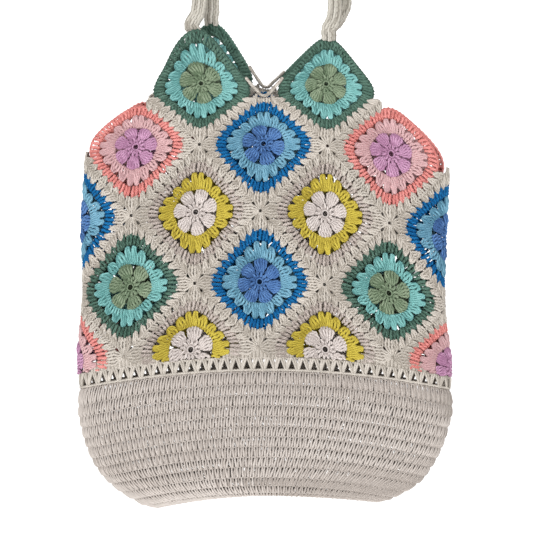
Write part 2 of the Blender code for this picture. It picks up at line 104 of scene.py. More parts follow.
@dataclass(frozen=True)
class CottonYarn:
    """Matt cotton yarn, plied from a few strands: soft and matt, with short fuzz along its edges
    and a fine slanting groove between its plies, with shade painted into its colour there."""

    name: str
    colour: str
    # The colour of the shade painted into the grooves and between the fibres.
    shade: str
    light: str
    roughness: float = 0.88
    specular: float = 0.2
    sheen: float = 0.25
    sheen_roughness: float = 0.6
    ply_pitch: float = 3.4 * MM
    plies: int = 3
    fuzz_grain: float = 0.45 * MM
    fuzz_share: float = 0.5
    tone_patch: float = 9.0 * MM
    bump_strength: float = 0.85
    bump_height: float = 0.45 * MM

    def material(self) -> bpy.types.Material:
        """Makes the yarn's material the first time that it is asked for.

        Returns:
            The material.
        """
        made = bpy.data.materials.get(self.name)
        if made:
            return made
        made = bpy.data.materials.new(self.name)
        made.use_nodes = True
        tree = made.node_tree
        shader = tree.nodes["Principled BSDF"]
        # Matt cotton gives the eye no highlight: the light spreads over it, with a faint glow at its edges.
        matt = {
            "Roughness": self.roughness,
            "Specular IOR Level": self.specular,
            "Sheen Weight": self.sheen,
            "Sheen Roughness": self.sheen_roughness,
            "Sheen Tint": linear(self.light),
        }
        for name, value in matt.items():
            shader.inputs[name].default_value = value
        place = add_node(tree, "TexCoord")
        # The plies: a saw of slanting grooves that runs along the yarn and round it.
        along = add_node(tree, "Attribute", attribute_name="yarn_run").outputs["Fac"]
        around = add_node(tree, "SeparateXYZ", {0: place.outputs["UV"]}).outputs["Y"]
        turns = add_node(tree, "Math", {0: along}, {1: self.plies / self.ply_pitch}, operation="MULTIPLY")
        round_and_along = {0: around, 2: turns.outputs[0]}
        slant = add_node(tree, "Math", round_and_along, {1: float(self.plies)}, operation="MULTIPLY_ADD")
        ply = add_node(tree, "Math", {0: slant.outputs[0]}, {1: 1.0}, operation="PINGPONG").outputs[0]
        # The fuzz, drawn a little coarser than the real fibres so that it shows.
        grain = {"Scale": 1 / self.fuzz_grain, "Detail": 3.0, "Roughness": 0.75}
        fuzz = add_node(tree, "TexNoise", {"Vector": place.outputs["Object"]}, grain).outputs["Fac"]
        # Broad patches a little lighter than the rest, as hand-dyed yarn has.
        broad = {"Scale": 1 / self.tone_patch, "Detail": 3.0, "Roughness": 0.6}
        patch = add_node(tree, "TexNoise", {"Vector": place.outputs["Object"]}, broad).outputs["Fac"]
        tone = add_node(tree, "MapRange", {"Value": patch}, {1: 0.32, 2: 0.68, 3: 0.0, 4: 1.0})
        tints = {6: linear(self.colour), 7: linear(self.light)}
        body = add_node(tree, "Mix", {"Factor": tone.outputs[0]}, tints, data_type="RGBA")
        # Painted shade: the colour darkens towards the shade colour in the grooves between the plies and
        # between the fibres.
        groove_shade_mask = add_node(tree, "Math", {0: ply, 1: fuzz}, operation="MULTIPLY")
        depth = add_node(tree, "MapRange", {"Value": groove_shade_mask.outputs[0]}, {1: 0.05, 2: 0.32, 3: 0.75, 4: 0.0})
        shaded = {"Factor": depth.outputs[0], 6: body.outputs[2]}
        colour = add_node(tree, "Mix", shaded, {7: linear(self.shade)}, data_type="RGBA")
        tree.links.new(colour.outputs[2], shader.inputs["Base Color"])
        relief = add_node(tree, "Math", {0: fuzz, 2: ply}, {1: self.fuzz_share}, operation="MULTIPLY_ADD")
        raised = {"Strength": self.bump_strength, "Distance": self.bump_height}
        bump = add_node(tree, "Bump", {"Height": relief.outputs[0]}, raised)
        tree.links.new(bump.outputs["Normal"], shader.inputs["Normal"])
        return made


class Yarn(Enum):
    """The yarns of the bag, each a finish of its own."""

    # Each yarn: its own colour, the colour of the shade painted into its grooves, and a lighter tint for
    # its random patches and its sheen.
    FLOWER_GREEN = CottonYarn("sage_green_cotton", "#76896F", "#3F5439", "#95A489")
    RING_GREEN = CottonYarn("aqua_cotton", "#76B0AC", "#2F6463", "#90C8C5")
    OUTER_GREEN = CottonYarn("dark_green_cotton", "#4A695C", "#1F3228", "#648375")
    FLOWER_BLUE = CottonYarn("mid_blue_cotton", "#4A72AA", "#1C3763", "#638BC0")
    RING_BLUE = CottonYarn("pale_blue_cotton", "#6C9FB6", "#2B5B73", "#88B9CF")
    OUTER_BLUE = CottonYarn("strong_blue_cotton", "#0E649C", "#033F70", "#1B74AE")
    FLOWER_PINK = CottonYarn("lilac_cotton", "#BC8DAD", "#8D5C7C", "#CD9EBD")
    RING_PINK = CottonYarn("dusty_rose_cotton", "#D0A9AA", "#A37D80", "#E0B9BA")
    OUTER_PINK = CottonYarn("salmon_cotton", "#DE8B85", "#B2635D", "#EE9F99")
    FLOWER_YELLOW = CottonYarn("white_cotton", "#D2C8C3", "#9A908B", "#E0D6D1")
    RING_YELLOW = CottonYarn("mustard_cotton", "#C2AF47", "#7C6A1E", "#D0BE50")
    OUTER_YELLOW = CottonYarn("beige_cotton", "#B8ACA5", "#74685F", "#CEC2BA")
    JOINING = CottonYarn("off_white_cotton_joins", "#C4BCB2", "#7E7569", "#D8D0C6")
    BASE = CottonYarn("off_white_cotton_base", "#C3BAB3", "#8A8078", "#D1C8C1")
    HANDLE = CottonYarn("off_white_cotton_handles", "#C2BDB2", "#857E73", "#D0CBC1")


class Colourway(Enum):
    """The three coloured yarns of a square, from the flower outwards."""

    GREEN = (Yarn.FLOWER_GREEN, Yarn.RING_GREEN, Yarn.OUTER_GREEN)
    BLUE = (Yarn.FLOWER_BLUE, Yarn.RING_BLUE, Yarn.OUTER_BLUE)
    PINK = (Yarn.FLOWER_PINK, Yarn.RING_PINK, Yarn.OUTER_PINK)
    YELLOW = (Yarn.FLOWER_YELLOW, Yarn.RING_YELLOW, Yarn.OUTER_YELLOW)


def run_lengths(points: Array) -> Array:
    """The length of a line of points up to each of them, from 0."""
    return np.concatenate([[0.0], np.cumsum(np.linalg.norm(np.diff(points, axis=0), axis=1))])


def unit(vectors: Array) -> Array:
    """The vectors along the last axis, each made one long."""
    return vectors / np.maximum(np.linalg.norm(vectors, axis=-1, keepdims=True), 1e-12)


def spline_weights(knots: int, points: int) -> Array:
    """The weights that read a smooth curve through evenly placed knots.

    Args:
        knots: how many knots the curve passes through.
        points: how many points to read along it.

    Returns:
        A points by knots array whose product with the knots is the curve.
    """
    places = np.linspace(0.0, knots - 1.0, points)
    weights = np.zeros((points, knots))
    for line, place in enumerate(places):
        start = min(int(place), knots - 2)
        t = place - start
        curve = (
            (-0.5 * t + t * t - 0.5 * t**3),
            (1 - 2.5 * t * t + 1.5 * t**3),
            (0.5 * t + 2 * t * t - 1.5 * t**3),
            (-0.5 * t * t + 0.5 * t**3),
        )
        for offset, weight in zip((-1, 0, 1, 2), curve):
            knot = start + offset
            if knot < 0:
                weights[line, 0] += 2 * weight
                weights[line, 1] -= weight
            elif knot >= knots:
                weights[line, -1] += 2 * weight
                weights[line, -2] -= weight
            else:
                weights[line, knot] += weight
    return weights


class Skein:
    """Strands of yarn collected for one piece, in the space they are worked in, until they are laid."""

    # Drawn with a four-sided section, which is enough for yarn a millimetre thick.
    section_sides = 4
    # The strands that twine winds start a little further round at each stitch, so no two look alike.
    phase_step = 2.4

    def __init__(self) -> None:
        """Starts with no strands."""
        self.paths: list[Array] = []
        self.radii: list[Array] = []
        self.yarns: list[Yarn] = []
        self.closed: list[bool] = []

    def strands(self) -> Iterator[tuple[Array, Array, Yarn, bool]]:
        """Every strand's points, radii and yarn, and whether its end meets its start."""
        return zip(self.paths, self.radii, self.yarns, self.closed)

    def keep(self, path: Array, thick: Array, yarn: Yarn, closed: bool = False) -> None:
        """Adds one strand as it is.

        Args:
            path: its points by 3.
            thick: the yarn's radius at each point.
            yarn: the yarn it is made of.
            closed: whether its end meets its start.
        """
        self.paths.append(path)
        self.radii.append(thick)
        self.yarns.append(yarn)
        self.closed.append(closed)

    def add(self, knots: Array, radius: float | Array, yarn: Yarn, points: int = 5) -> None:
        """Adds a set of strands of one kind.

        Args:
            knots: strands by knots by 3, each strand's knots in order.
            radius: the yarn's radius, or one for each knot.
            yarn: the yarn they are made of.
            points: how many points each strand is drawn with.
        """
        knots = np.asarray(knots, float)
        weights = spline_weights(knots.shape[1], points)
        paths = np.einsum("pk,skc->spc", weights, knots)
        thick = weights @ (np.zeros(knots.shape[1]) + radius)
        for path in paths:
            self.keep(path, thick, yarn)

    def add_long(self, path: Array, radius: float, yarn: Yarn, closed: bool = False) -> None:
        """Adds one long strand that is already smooth.

        Args:
            path: its points by 3.
            radius: the yarn's radius.
            yarn: the yarn it is made of.
            closed: whether its end meets its start.
        """
        self.keep(np.asarray(path, float), np.full(len(path), radius), yarn, closed)

    def twine(
        self, knots: Array, radius: float | Array, yarn: Yarn, turns: float, swing: float, points: int = 6
    ) -> None:
        """Adds stitches as two strands wound round each other, in a space whose third axis is the height.

        Args:
            knots: stitches by knots by 3, each stitch's middle line.
            radius: the strands' radius, or one for each knot.
            yarn: the yarn they are made of.
            turns: how often the strands go round each other.
            swing: how far each strand swings from the middle line.
            points: how many points each strand is drawn with.
        """
        knots = np.asarray(knots, float)
        weights = spline_weights(knots.shape[1], points)
        lines = np.einsum("pk,skc->spc", weights, knots)
        thick = weights @ (np.zeros(knots.shape[1]) + radius)
        ahead = unit(np.gradient(lines, axis=1)[..., :2])
        starts = self.phase_step * np.arange(len(lines))[:, None]
        phase = 2 * math.pi * turns * np.linspace(0, 1, points) + starts
        for shift in (0.0, math.pi):
            sideways = swing * np.cos(phase + shift)
            wound = lines.copy()
            wound[..., 0] -= ahead[..., 1] * sideways
            wound[..., 1] += ahead[..., 0] * sideways
            wound[..., 2] += swing * np.sin(phase + shift)
            for path in wound:
                self.keep(path, thick, yarn)

    def moved(self, change: Callable[[Array], Array]) -> None:
        """Passes every strand's points through change, a function of an N by 3 array.

        Args:
            change: takes points, N by 3, to their new places.
        """
        if not self.paths:
            return
        ends = np.cumsum([len(path) for path in self.paths])
        self.paths = np.split(change(np.concatenate(self.paths)), ends[:-1])

    def lay(self, name: str) -> bpy.types.Object:
        """Sweeps the strands, which are in metres by now, into one piece.

        Args:
            name: the piece's name.

        Returns:
            The piece, its place in its mesh.
        """
        curve = bpy.data.curves.new(name, "CURVE")
        curve.dimensions = "3D"
        curve.bevel_depth = 1.0
        curve.bevel_resolution = (self.section_sides - 4) // 2
        curve.use_fill_caps = True
        curve.twist_mode = "MINIMUM"
        order = list(dict.fromkeys(self.yarns))
        for yarn in order:
            curve.materials.append(yarn.value.material())
        runs = []
        for path, thick, yarn, closed in self.strands():
            spline = curve.splines.new("POLY")
            spline.points.add(len(path) - 1)
            places = np.ones((len(path), 4), np.float32)
            places[:, :3] = path
            spline.points.foreach_set("co", places.ravel())
            spline.points.foreach_set("radius", thick.astype(np.float32))
            spline.material_index = order.index(yarn)
            spline.use_cyclic_u = closed
            runs.append(np.repeat(run_lengths(path), self.section_sides))
        drawn = bpy.data.objects.new(name + "_line", curve)
        bpy.context.scene.collection.objects.link(drawn)
        graph = bpy.context.evaluated_depsgraph_get()
        mesh = bpy.data.meshes.new_from_object(drawn.evaluated_get(graph), depsgraph=graph)
        bpy.data.objects.remove(drawn)
        bpy.data.curves.remove(curve)
        mesh.name = name
        run = np.concatenate(runs).astype(np.float32)
        if len(run) == len(mesh.vertices):
            along = mesh.attributes.new("yarn_run", "FLOAT", "POINT")
            along.data.foreach_set("value", run)
        else:
            LOG.warning("%s: %d run values for %d vertices", name, len(run), len(mesh.vertices))
        mesh.shade_smooth()
        piece = bpy.data.objects.new(name, mesh)
        bpy.context.scene.collection.objects.link(piece)
        return piece


def finish_piece(piece: bpy.types.Object, nodes: tuple[str, ...] = ()) -> None:
    """Fixes a piece to the bag, hides the model's parts that it replaces, and reports it.

    Args:
        piece: the piece, in place.
        nodes: the model's nodes that it replaces.
    """
    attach(piece, "root")
    if nodes:
        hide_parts(*nodes)
    LOG.info("%s: %d faces", piece.name, len(piece.data.polygons))


# ------------------------------------------------------------ the bag's surface


def smooth_step(low: float, high: float, value: Array) -> Array:
    """0 up to low, 1 from high on, and a smooth rise between."""
    share = np.clip((value - low) / (high - low), 0.0, 1.0)
    return share * share * (3.0 - 2.0 * share)


def smooth_column(rows: Array, values: Array, at: Array) -> Array:
    """A smooth curve through a table's values.

    Args:
        rows: where the values stand.
        values: the values.
        at: where to read the curve.

    Returns:
        The curve at each place.
    """
    slopes = np.gradient(values, rows)
    index = np.clip(np.searchsorted(rows, at, side="right") - 1, 0, len(rows) - 2)
    span = rows[index + 1] - rows[index]
    t = (at - rows[index]) / span
    start = (1 + 2 * t) * (1 - t) ** 2 * values[index] + t * (1 - t) ** 2 * span * slopes[index]
    end = t * t * (3 - 2 * t) * values[index + 1] + t * t * (t - 1) * span * slopes[index + 1]
    return start + end


class Level(NamedTuple):
    """One level of the bag: its row on the map, its share of the height, and its outline's shares."""

    row: float
    fall: float
    width: float
    depth: float
    lean: float
    turn: float
    left_sag: float
    right_sag: float


class Hill(NamedTuple):
    """A round hill of the map: columns from the left fold and row of its top, and how far it reaches."""

    column: float
    wide: float
    row: float
    tall: float

    def at(self, columns: Array, row: float) -> Array:
        """Its height, 1 at its top, at columns counted from the left fold."""
        return np.exp(-(((columns + self.column) / self.wide) ** 2 + ((row - self.row) / self.tall) ** 2))


@dataclass
class BagSurface:
    """The outside of the bag's wall, with the sizes of the model's own solids."""

    body_width: float = 0.359
    body_depth: float = 0.082
    patchwork_height: float = 0.329
    base_height: float = 0.123
    fold_roundness: float = 0.5
    handle_drop: float = 0.258
    columns: int = 6
    neck_sag: float = 0.048
    back_lift: float = 0.080
    back_lift_column: float = 3.35
    back_left_shift: float = 0.055
    back_lift_reach: float = 1.1
    left_shoulder: float = 0.042
    left_shoulder_hill: Hill = Hill(0.64, 0.20, 0.4, 0.45)
    left_tip_lift: float = 0.035
    left_tip_hill: Hill = Hill(0.52, 0.20, 0.25, 0.30)
    patchwork_levels: tuple[Level, ...] = (
        Level(0.00, 0.000, 0.990, 0.28, -0.005, 0.000, 0.000, 0.140),
        Level(1.00, 0.179, 0.950, 0.44, -0.013, 0.000, 0.000, 0.020),
        Level(2.00, 0.353, 0.965, 0.58, 0.004, -0.020, 0.032, 0.116),
        Level(3.00, 0.546, 0.966, 0.67, -0.014, -0.018, 0.048, 0.138),
        Level(4.00, 0.750, 0.961, 0.74, -0.014, -0.022, 0.054, 0.128),
        Level(5.00, 0.936, 0.990, 0.83, -0.010, -0.033, 0.094, 0.120),
        Level(5.30, 1.000, 0.987, 0.86, -0.008, -0.033, 0.100, 0.106),
    )
    base_levels: tuple[Level, ...] = (
        Level(5.54, 0.121, 0.996, 0.93, -0.006, -0.033, 0.127, 0.127),
        Level(5.85, 0.280, 0.975, 0.98, -0.009, -0.033, 0.132, 0.132),
        Level(6.16, 0.436, 0.941, 1.00, -0.011, -0.033, 0.132, 0.132),
        Level(6.47, 0.591, 0.888, 0.98, -0.013, -0.033, 0.127, 0.127),
        Level(6.77, 0.742, 0.819, 0.88, -0.012, -0.033, 0.106, 0.106),
        Level(7.09, 0.902, 0.696, 0.65, -0.016, -0.033, 0.080, 0.070),
        Level(7.27, 0.970, 0.635, 0.35, 0.000, -0.033, 0.070, 0.040),
        Level(7.40, 1.000, 0.560, 0.00, 0.005, -0.033, 0.060, 0.030),
    )
    map_rows: int = 300
    map_columns: int = 720

    def __post_init__(self) -> None:
        """Works out the net of points and outward normals over the map."""
        self.half_width = self.body_width / 2
        self.half_depth = self.body_depth / 2
        self.edge_row = self.patchwork_levels[-1].row
        self.bottom_row = self.base_levels[-1].row
        self.half_column = self.body_width / self.columns
        self.row_height = self.patchwork_height / self.edge_row
        self.side = math.hypot(self.half_column, self.row_height)
        self.across = 2 * self.half_column * self.row_height / self.side
        levels = self.patchwork_levels + self.base_levels
        table = {name: np.array([getattr(level, name) for level in levels]) for name in Level._fields}
        height = table["fall"] * self.patchwork_height
        low = len(self.patchwork_levels)
        height[low:] = self.patchwork_height + table["fall"][low:] * self.base_height
        rows = np.linspace(0.0, self.bottom_row, self.map_rows + 1)
        columns = np.arange(self.map_columns) * self.columns / self.map_columns
        read = {name: smooth_column(table["row"], table[name], rows) for name in Level._fields}
        drop = self.handle_drop + smooth_column(table["row"], height, rows)
        self.points = np.zeros((self.map_rows + 1, self.map_columns, 3))
        for i, row in enumerate(rows):
            half_width = read["width"][i] * self.half_width
            half_depth = max(read["depth"][i], 0.0) * self.half_depth
            x, y = self.section(half_width, half_depth, columns / self.columns + read["turn"][i] / 4)
            side = np.where(x < 0, read["left_sag"][i], read["right_sag"][i])
            sag = side * self.half_width * (x / half_width) ** 2
            sideways, upwards = self.slack(columns, row)
            self.points[i, :, 0] = x + read["lean"][i] * self.half_width + sideways
            self.points[i, :, 1] = y
            self.points[i, :, 2] = upwards - drop[i] - sag
        down = np.gradient(self.points, axis=0)
        wrapped = np.concatenate([self.points[:, -1:], self.points, self.points[:, :1]], axis=1)
        normals = np.cross(down, (wrapped[:, 2:] - wrapped[:, :-2]) / 2)
        normals[-1] = (0.0, 0.0, -1.0)
        self.normals = unit(normals)

    def section(self, half_width: float, half_depth: float, shares: Array) -> tuple[Array, Array]:
        """A level's outline, a flat ellipse with round folds.

        Args:
            half_width: half its width.
            half_depth: half its depth.
            shares: shares of its length from the middle of the front.

        Returns:
            The x and the y of each share.
        """
        rounding = self.fold_roundness * half_depth
        angle = np.linspace(0.0, 2 * math.pi, 1441)
        wide, deep = half_width - rounding, half_depth - rounding
        normal = unit(np.stack([deep * np.sin(angle), -wide * np.cos(angle)], axis=1))
        outline = np.stack([wide * np.sin(angle), -deep * np.cos(angle)], axis=1) + rounding * normal
        lengths = run_lengths(outline)
        wanted = (shares % 1.0) * lengths[-1]
        return np.interp(wanted, lengths, outline[:, 0]), np.interp(wanted, lengths, outline[:, 1])

    def slack(self, columns: Array, row: float) -> tuple[Array, Array]:
        """How far the hanging top moves the fabric.

        Args:
            columns: places round the bag.
            row: the level's row.

        Returns:
            The way sideways and the way up.
        """
        high = 1.0 - smooth_step(1.0, 2.0, row)
        neck = -self.neck_sag * high * np.cos(math.pi * columns) ** 2
        near = np.clip(1.0 - np.abs(columns - self.back_lift_column) / self.back_lift_reach, 0.0, 1.0)
        back = smooth_step(0.0, 1.0, near) * (1.0 - smooth_step(0.8, 3.0, row))
        tip = back * (1.0 - smooth_step(0.0, 1.4, row))
        shoulder = self.left_shoulder_hill.at(columns - self.columns, row)
        folded = self.left_tip_hill.at(columns - self.columns, row)
        sideways = self.back_left_shift * tip - self.left_shoulder * shoulder
        upwards = neck + self.back_lift * back + self.left_tip_lift * folded
        return sideways * self.half_width, upwards * self.half_width

    def lay(self, places: Array) -> Array:
        """Lays places of the map on the bag.

        Args:
            places: N by 3, each a column, a row and a height above the wall's outside.

        Returns:
            The points in metres, N by 3.
        """
        i = np.clip(places[:, 1] / self.bottom_row, 0.0, 1.0) * self.map_rows
        j = (places[:, 0] / self.columns) % 1.0 * self.map_columns
        i0 = np.minimum(i.astype(int), self.map_rows - 1)
        j0 = j.astype(int) % self.map_columns
        j1 = (j0 + 1) % self.map_columns
        s, t = (i - i0)[:, None], (j - j.astype(int))[:, None]
        mixed = []
        for net in (self.points, self.normals):
            upper = net[i0, j0] * (1 - t) + net[i0, j1] * t
            lower = net[i0 + 1, j0] * (1 - t) + net[i0 + 1, j1] * t
            mixed.append(upper * (1 - s) + lower * s)
        point, normal = mixed
        return point + unit(normal) * places[:, 2:3]


# ------------------------------------------------------------ a crochet square


@dataclass(frozen=True)
class Contour:
    """A line round a square's middle: a circle, a rounded square or a square, in millimetres."""

    reach: float
    squareness: float

    def read(self, shares: Array) -> Array:
        """Reads the line.

        Args:
            shares: shares of its length from the lower corner, past the left corner first.

        Returns:
            N by 2, across the square's own two directions.
        """
        angle = np.linspace(math.pi / 4, math.pi / 4 + 2 * math.pi, 721)
        power = self.squareness
        size = (np.abs(np.cos(angle)) ** power + np.abs(np.sin(angle)) ** power) ** (1 / power)
        line = self.reach * np.stack([np.cos(angle), np.sin(angle)], axis=1) / size[:, None]
        lengths = run_lengths(line)
        wanted = (shares % 1.0) * lengths[-1]
        return np.stack([np.interp(wanted, lengths, line[:, k]) for k in (0, 1)], axis=-1)


class Side(NamedTuple):
    """One side of a square: where it starts and ends along the contours, and the way to its neighbour."""

    start: float
    column_step: float
    row_step: int


SIDES = (
    Side(0.00, -0.5, 1),
    Side(0.25, -0.5, -1),
    Side(0.50, 0.5, -1),
    Side(0.75, 0.5, 1),
)


class Square(NamedTuple):
    """A square's node, its middle on the map, and its colours. half: only its upper half is worked."""

    node: str
    column: float
    row: float
    colourway: Colourway
    half: bool = False

    @property
    def below_neck(self) -> bool:
        """Whether it hangs from the low point of the neckline."""
        return self.row == 2 and self.column % 3 == 0


GREEN, BLUE, PINK, YELLOW = Colourway.GREEN, Colourway.BLUE, Colourway.PINK, Colourway.YELLOW
SQUARES = (
    Square("green_square_peak_front_left", -0.5, 1, GREEN),
    Square("green_square_peak_front_right", 0.5, 1, GREEN),
    Square("green_square_peak_back_right", 2.5, 1, GREEN),
    Square("green_square_peak_back_left", 3.5, 1, GREEN),
    Square("pink_square_front_left", -1.0, 2, PINK),
    Square("blue_square_upper_front", 0.0, 2, BLUE),
    Square("pink_square_front_right", 1.0, 2, PINK),
    Square("pink_square_back_right", 2.0, 2, PINK),
    Square("blue_square_upper_back", 3.0, 2, BLUE),
    Square("pink_square_back_left", 4.0, 2, PINK),
    Square("yellow_square_front_left", -0.5, 3, YELLOW),
    Square("yellow_square_front_right", 0.5, 3, YELLOW),
    Square("blue_square_side_right", 1.5, 3, BLUE),
    Square("yellow_square_back_right", 2.5, 3, YELLOW),
    Square("yellow_square_back_left", 3.5, 3, YELLOW),
    Square("blue_square_side_left", 4.5, 3, BLUE),
    Square("green_square_front_left", -1.0, 4, GREEN),
    Square("blue_square_lower_front", 0.0, 4, BLUE),
    Square("green_square_front_right", 1.0, 4, GREEN),
    Square("green_square_back_right", 2.0, 4, GREEN),
    Square("blue_square_lower_back", 3.0, 4, BLUE),
    Square("green_square_back_left", 4.0, 4, GREEN),
    Square("yellow_half_front_left", -0.5, 5, YELLOW, True),
    Square("yellow_half_front_right", 0.5, 5, YELLOW, True),
    Square("pink_half_side_right", 1.5, 5, PINK, True),
    Square("yellow_half_back_right", 2.5, 5, YELLOW, True),
    Square("yellow_half_back_left", 3.5, 5, YELLOW, True),
    Square("pink_half_side_left", 4.5, 5, PINK, True),
)


@dataclass
class CrochetSquares:
    """The patchwork: each square's flower, ring, outer round and joins, stitch by stitch."""

    surface: BagSurface
    middle_height: float = -1.5
    # The rounds' lines, from the hole in the middle to the edge where squares meet.
    contours: tuple[Contour, ...] = (
        Contour(2.3, 2.0),
        Contour(8.4, 2.0),
        Contour(19.8, 2.1),
        Contour(28.4, 3.8),
        Contour(37.4, 4.8),
        Contour(43.1, 60.0),
    )
    disc_stitches: int = 12
    petal_counts: tuple[int, ...] = (6, 7)
    # Half a petal's width, as a share of its part of the circle, and the same where petals close up.
    petal_half: float = 0.325
    tight_petal_half: float = 0.39
    # The ring's groups along one side, as shares of the side: their middles and half their widths.
    group_middles: tuple[float, ...] = (0.07, 0.26, 0.50, 0.74, 0.93)
    group_halves: tuple[float, ...] = (0.07, 0.12, 0.12, 0.12, 0.07)
    outer_stitches: int = 66
    peak_stitches: int = 78
    teeth_a_side: int = 7
    seed: int = 5
    seam_start: float = 0.15
    seam_turns: int = 11
    seam_points: int = 46
    neck_reach: float = 0.10
    cut_below: float = 0.135
    # The back is worked in thicker yarn, with closed flowers and its rings turned a little.
    back_columns: tuple[float, float] = (1.6, 4.4)
    back_thickness: float = 1.34
    back_ring_shift: float = 0.030
    peak_thickness: float = 1.12

    def __post_init__(self) -> None:
        """Notes which places of the map have a square."""
        self.taken = {(square.column % self.surface.columns, square.row) for square in SQUARES}

    def spot(self, shares: Array, level: Array, height: Array) -> Array:
        """Turns places along and between the contours into flat millimetres.

        Args:
            shares: shares of the way round.
            level: 0 on the first contour, 1 on the next, and so on.
            height: millimetres above the middle of the wall.

        Returns:
            The same shape with 3 at its end: across, across the other way, and height.
        """
        given = (np.asarray(values, float) for values in (shares, level, height))
        shares, level, height = np.broadcast_arrays(*given)
        lines = np.stack([contour.read(shares.ravel()) for contour in self.contours])
        at = np.clip(level.ravel(), 0.0, len(self.contours) - 1.0001)
        low = at.astype(int)
        t = (at - low)[:, None]
        index = np.arange(len(at))
        flat = lines[low, index] * (1 - t) + lines[low + 1, index] * t
        return np.concatenate([flat, height.ravel()[:, None]], axis=1).reshape(*shares.shape, 3)

    def onto_map(self, square: Square) -> Callable[[Array], Array]:
        """The change from a square's flat millimetres to the bag's map.

        Args:
            square: the square that the change is for.

        Returns:
            A function of an N by 3 array.
        """
        side = self.surface.side / MM
        lift = self.neck_reach if square.below_neck else 0.0

        def change(points: Array) -> Array:
            """Takes flat millimetres and a height to a column, a row and a height in metres.

            Args:
                points: N by 3, flat millimetres across both ways and a height.

            Returns:
                N by 3: column, row and height in metres.
            """
            column = square.column + (points[:, 0] - points[:, 1]) / (2 * side)
            row = square.row + (points[:, 0] + points[:, 1]) / side
            row = row - lift * (1.0 - smooth_step(square.row - 0.85, square.row - 0.3, row))
            height = (points[:, 2] + self.middle_height) * MM
            return np.stack([column, row, height], axis=1)

        return change

    def disc(self, skein: Skein, yarn: Yarn, turn: float, tight: bool) -> None:
        """The flower's middle: a small ring of yarn and a round of short stitches out of it.

        Args:
            skein: takes the strands.
            yarn: the flower's yarn.
            turn: where round the middle it starts.
            tight: whether the hole in the middle is closed.
        """
        ring = self.spot(np.linspace(0, 1, 13)[:-1], 0.0 if tight else 0.20, 0.6)
        skein.add_long(ring, 1.9 if tight else 1.2, yarn, closed=True)
        middle = turn + np.arange(self.disc_stitches) / self.disc_stitches
        shares = middle[:, None] + np.array([0.0, 0.006, 0.012])
        knots = self.spot(shares, np.array([0.30, 0.68, 1.06]), np.array([0.7, 1.3, 0.7]))
        skein.twine(knots, np.array([1.0, 1.25, 1.15]), yarn, 0.8, 0.75, 5)

    def petals(self, skein: Skein, yarn: Yarn, turn: float, count: int, tight: bool) -> None:
        """The petals: each a cluster of long stitches that swells and closes at its top.

        Args:
            skein: takes the strands.
            yarn: the flower's yarn.
            turn: where the first petal points.
            count: how many petals there are.
            tight: whether they close up.
        """
        middle = turn + np.arange(count) / count
        half = (self.tight_petal_half if tight else self.petal_half) / count
        for place in np.linspace(-1, 1, 5):
            swell = 1.0 - place * place
            shares = middle[:, None] + half * place * np.array([0.75, 1.0, 1.04, 0.70])
            level = np.array([0.98, 1.30, 1.72, 2.03 - 0.08 * place * place])
            height = np.array([0.2, 0.6 + 1.0 * swell, 0.7 + 1.1 * swell, 0.0 + 0.3 * swell])
            knots = self.spot(shares, level, height)
            skein.twine(knots, np.array([1.0, 1.25, 1.3, 1.1]), yarn, 1.4, 0.8, 7)

    def ring(self, skein: Skein, yarn: Yarn, shift: float, rng: np.random.Generator) -> None:
        """The ring round: groups of tall stitches, pulled together at their tops, with holes between.

        Args:
            skein: takes the strands.
            yarn: the ring's yarn.
            shift: how far the ring is turned.
            rng: the square's random numbers.
        """
        middle = (np.arange(4)[:, None] + np.array(self.group_middles)).ravel() / 4 + shift
        middle = middle + rng.normal(0, 0.0012, len(middle))
        half = np.tile(self.group_halves, 4) / 4
        for place in (-1.0, 0.0, 1.0):
            shares = middle[:, None] + place * half[:, None] * np.array([0.52, 0.72, 0.60, 0.22])
            level = np.array([1.98, 2.30, 2.70, 3.16 - 0.06 * abs(place)])
            height = np.array([-0.3, 0.6, 0.9, 0.7])
            knots = self.spot(shares, level, height)
            skein.twine(knots, np.array([1.05, 1.3, 1.35, 1.1]), yarn, 1.2, 0.75, 6)

    def outer(self, skein: Skein, yarn: Yarn, count: int, rng: np.random.Generator) -> None:
        """The outer round: close stitches that wind a little, and the chain along their tops.

        Args:
            skein: takes the strands.
            yarn: the outer round's yarn.
            count: how many stitches it has.
            rng: the square's random numbers.
        """
        middle = np.arange(count) / count + rng.normal(0, 0.0010, count)
        shares = middle[:, None] + 0.0022 * np.array([-1.0, -0.3, 0.4, 1.0])
        level = np.array([3.17, 3.38, 3.68, 3.98])
        height = np.array([-0.3, 0.3, 0.4, 0.0])
        knots = self.spot(shares, level, height)
        skein.twine(knots, np.array([0.95, 1.3, 1.4, 1.3]), yarn, 2.2, 0.85, 7)
        shares = np.linspace(0, 1, count * 2 + 1)[:-1]
        swing = np.where(np.arange(count * 2) % 2 == 0, 1.0, -1.0)
        chain = self.spot(shares, 4.03 + 0.05 * swing, 0.25 + 0.35 * np.roll(swing, 1))
        skein.add_long(chain, 1.1, yarn, closed=True)

    def sides_joined(self, square: Square) -> list[bool]:
        """Whether each side of the square meets a neighbour."""
        places = [(square.column + side.column_step, square.row + side.row_step) for side in SIDES]
        return [(column % self.surface.columns, row) in self.taken for column, row in places]

